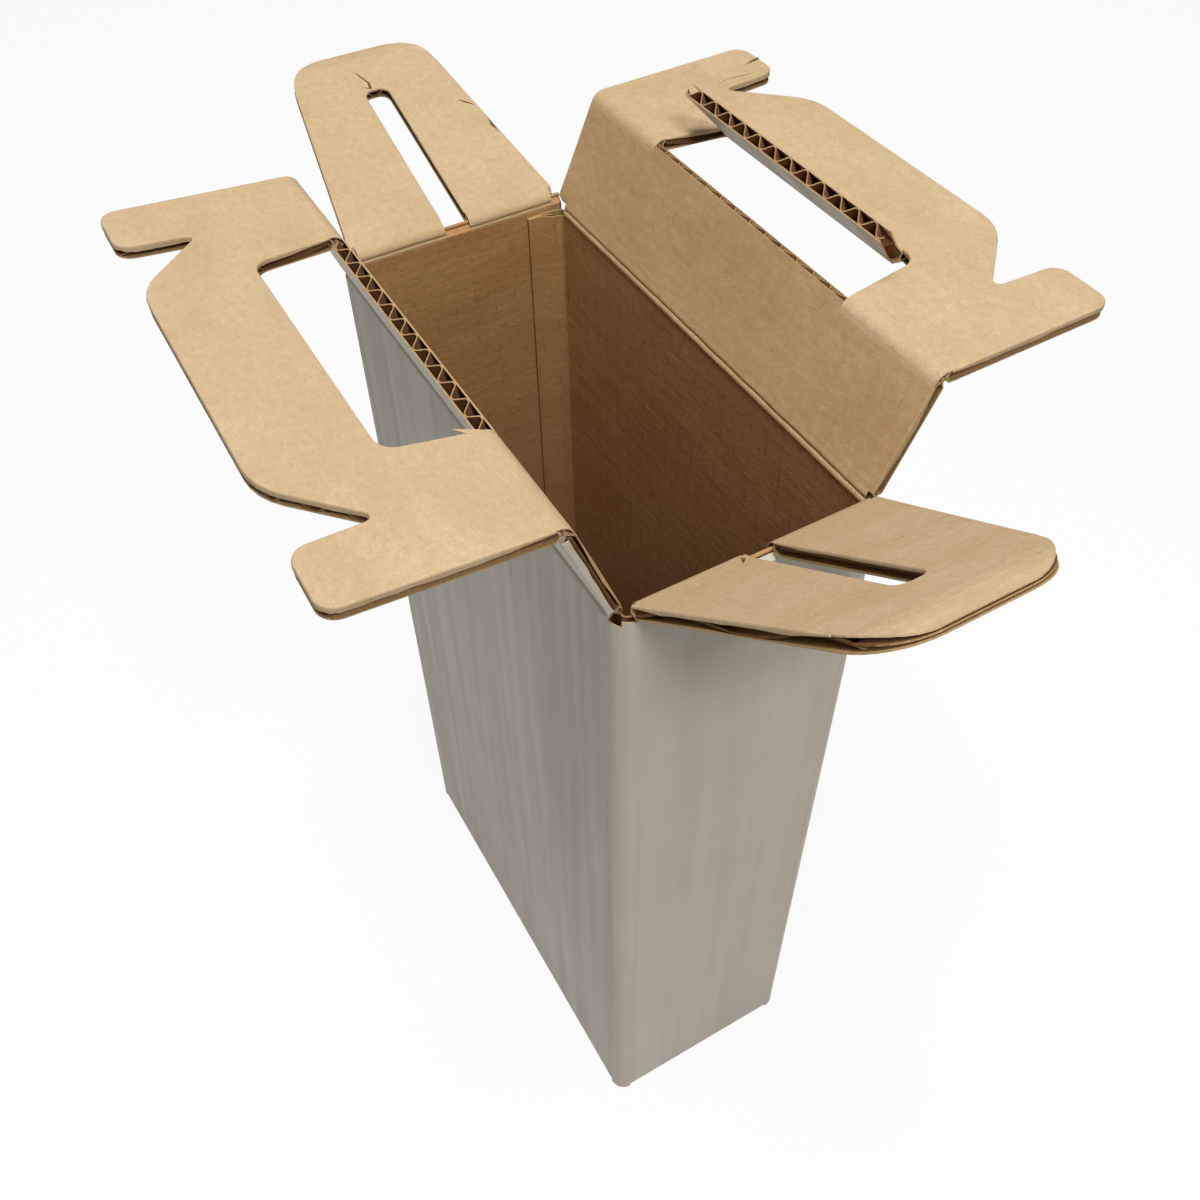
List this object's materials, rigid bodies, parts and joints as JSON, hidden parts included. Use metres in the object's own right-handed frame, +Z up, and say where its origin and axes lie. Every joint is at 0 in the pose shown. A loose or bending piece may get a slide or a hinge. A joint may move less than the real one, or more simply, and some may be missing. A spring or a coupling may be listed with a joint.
{
  "type": "bottle carrier box",
  "caption": "Tall corrugated carrier box, standing open: leaning roof panels with fold-out handle panels, slotted end flaps, a raised grip tab and a folded bottom.",
  "frame": {"origin": "centre of the box's bottom face, on the surface it stands on", "axes": "+Z up; X along the long walls and the handle, the near end at +X; Y across the depth, the front wall at -Y"},
  "size_m": [0.3423, 0.2284, 0.3803],
  "materials": {
    "white_liner": "satin",
    "fluted_medium": "matte",
    "kraft_liner": "matte"
  },
  "bodies": {
    "body": {"front_wall_outer_liner": "white_liner", "front_wall_medium": "fluted_medium", "front_wall_inner_liner": "kraft_liner", "back_wall_outer_liner": "white_liner", "back_wall_medium": "fluted_medium", "back_wall_inner_liner": "kraft_liner", "near_end_wall_outer_liner": "white_liner", "near_end_wall_medium": "fluted_medium", "near_end_wall_inner_liner": "kraft_liner", "far_end_wall_outer_liner": "white_liner", "far_end_wall_medium": "fluted_medium", "far_end_wall_inner_liner": "kraft_liner", "glue_flap_outer_liner": "white_liner", "glue_flap_medium": "fluted_medium", "glue_flap_inner_liner": "kraft_liner", "front_bottom_flap_outer_liner": "white_liner", "front_bottom_flap_medium": "fluted_medium", "front_bottom_flap_inner_liner": "kraft_liner", "back_bottom_flap_outer_liner": "white_liner", "back_bottom_flap_medium": "fluted_medium", "back_bottom_flap_inner_liner": "kraft_liner", "near_bottom_flap_outer_liner": "white_liner", "near_bottom_flap_medium": "fluted_medium", "near_bottom_flap_inner_liner": "kraft_liner", "far_bottom_flap_outer_liner": "white_liner", "far_bottom_flap_medium": "fluted_medium", "far_bottom_flap_inner_liner": "kraft_liner"},
    "front_roof": {"front_roof_outer_liner": "white_liner", "front_roof_medium": "fluted_medium", "front_roof_inner_liner": "kraft_liner"},
    "back_roof": {"back_roof_outer_liner": "white_liner", "back_roof_medium": "fluted_medium", "back_roof_inner_liner": "kraft_liner"},
    "front_handle": {"front_handle_outer_liner": "white_liner", "front_handle_medium": "fluted_medium", "front_handle_inner_liner": "kraft_liner"},
    "back_handle": {"back_handle_outer_liner": "white_liner", "back_handle_medium": "fluted_medium", "back_handle_inner_liner": "kraft_liner"},
    "grip_tab": {"grip_tab_outer_liner": "white_liner", "grip_tab_medium": "fluted_medium", "grip_tab_inner_liner": "kraft_liner"},
    "near_end_flap": {"near_end_flap_outer_liner": "white_liner", "near_end_flap_medium": "fluted_medium", "near_end_flap_inner_liner": "kraft_liner"},
    "far_end_flap": {"far_end_flap_outer_liner": "white_liner", "far_end_flap_medium": "fluted_medium", "far_end_flap_inner_liner": "kraft_liner"}
  },
  "joints": [
    {"name": "back_roof_fold", "type": "hinge", "parent": "body", "child": "back_roof", "pos_m": [0, 0.0409, 0.3259], "axis": [1, 0, 0], "range_deg": [-60, 114.2]},
    {"name": "front_roof_fold", "type": "hinge", "parent": "body", "child": "front_roof", "pos_m": [0, -0.0409, 0.3259], "axis": [-1, 0, 0], "range_deg": [-60, 110.8]},
    {"name": "back_handle_fold", "type": "hinge", "parent": "back_roof", "child": "back_handle", "pos_m": [0, 0.05674, 0.36115], "axis": [-1, 0, 0], "range_deg": [-64.8, 25.2]},
    {"name": "front_handle_fold", "type": "hinge", "parent": "front_roof", "child": "front_handle", "pos_m": [0, -0.05462, 0.36203], "axis": [1, 0, 0], "range_deg": [-64.7, 25.3]},
    {"name": "grip_tab_fold", "type": "hinge", "parent": "back_handle", "child": "grip_tab", "pos_m": [0, 0.08104, 0.36158], "axis": [-1, 0, 0], "range_deg": [-50, 40]},
    {"name": "near_end_flap_fold", "type": "hinge", "parent": "body", "child": "near_end_flap", "pos_m": [0.0919, 0, 0.328], "axis": [0, -1, 0], "range_deg": [-33, 91]},
    {"name": "far_end_flap_fold", "type": "hinge", "parent": "body", "child": "far_end_flap", "pos_m": [-0.0919, 0, 0.328], "axis": [0, 1, 0], "range_deg": [-15, 109]}
  ]
}
